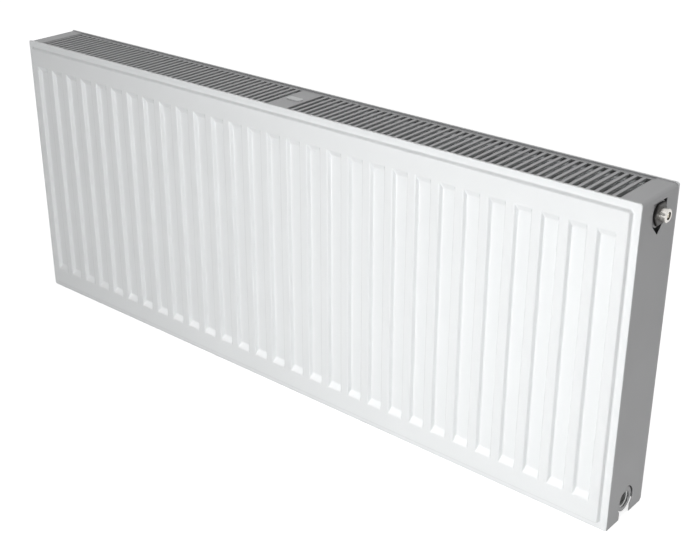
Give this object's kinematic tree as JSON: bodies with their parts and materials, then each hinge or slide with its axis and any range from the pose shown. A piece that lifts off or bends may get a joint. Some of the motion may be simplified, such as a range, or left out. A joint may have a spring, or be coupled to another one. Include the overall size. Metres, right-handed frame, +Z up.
{
  "type": "panel radiator",
  "caption": "Steel panel radiator with fluted water panels, folded convectors, a slotted top grille, end covers and a bleed valve that opens with a square key.",
  "frame": {"origin": "bottom centre of the two panels, on the surface that their lower edges would stand on", "axes": "+X along the length towards the bleed valve's end, +Y towards the wall, +Z up"},
  "size_m": [1.013, 0.1009, 0.4],
  "materials": {
    "white_enamel": "semi-gloss",
    "grey_enamel": "semi-gloss",
    "white_plastic": "satin",
    "nickel": "nickel plated",
    "nickel_screw": "turned",
    "black_rubber": "matt"
  },
  "bodies": {
    "radiator": {"front_panel_outer_skin": "white_enamel", "front_panel_inner_skin": "white_enamel", "rear_panel_inner_skin": "white_enamel", "rear_panel_outer_skin": "white_enamel", "front_convector": "white_enamel", "rear_convector": "white_enamel", "centre_spacer": "white_enamel", "top_grille": "grey_enamel", "grille_clip": "white_plastic", "left_end_cover": "grey_enamel", "top_left_tee": "grey_enamel", "bottom_left_tee": "grey_enamel", "upper_left_lug": "white_enamel", "lower_left_lug": "white_enamel", "right_end_cover": "grey_enamel", "top_right_tee": "grey_enamel", "bottom_right_tee": "grey_enamel", "upper_right_lug": "white_enamel", "lower_right_lug": "white_enamel", "vent_plug": "nickel", "vent_plug_seal": "black_rubber", "blanking_plug": "nickel", "blanking_plug_seal": "black_rubber"},
    "bleed_seal": {"bleed_oring": "black_rubber"},
    "bleed_screw": {"bleed_screw": "nickel_screw"}
  },
  "joints": [
    {"name": "bleed_screw_lift", "type": "slide", "parent": "radiator", "child": "bleed_seal", "axis": [1, 0, 0], "range_m": [0, 0.0015]},
    {"name": "bleed_screw_turn", "type": "hinge", "parent": "bleed_seal", "child": "bleed_screw", "pos_m": [0.4985, 0, 0.3775], "axis": [1, 0, 0], "range_deg": [0, 540]}
  ],
  "couplings": [
    {"joint": "bleed_screw_turn", "follows": "bleed_screw_lift", "rad_per_m": 6283.2}
  ]
}
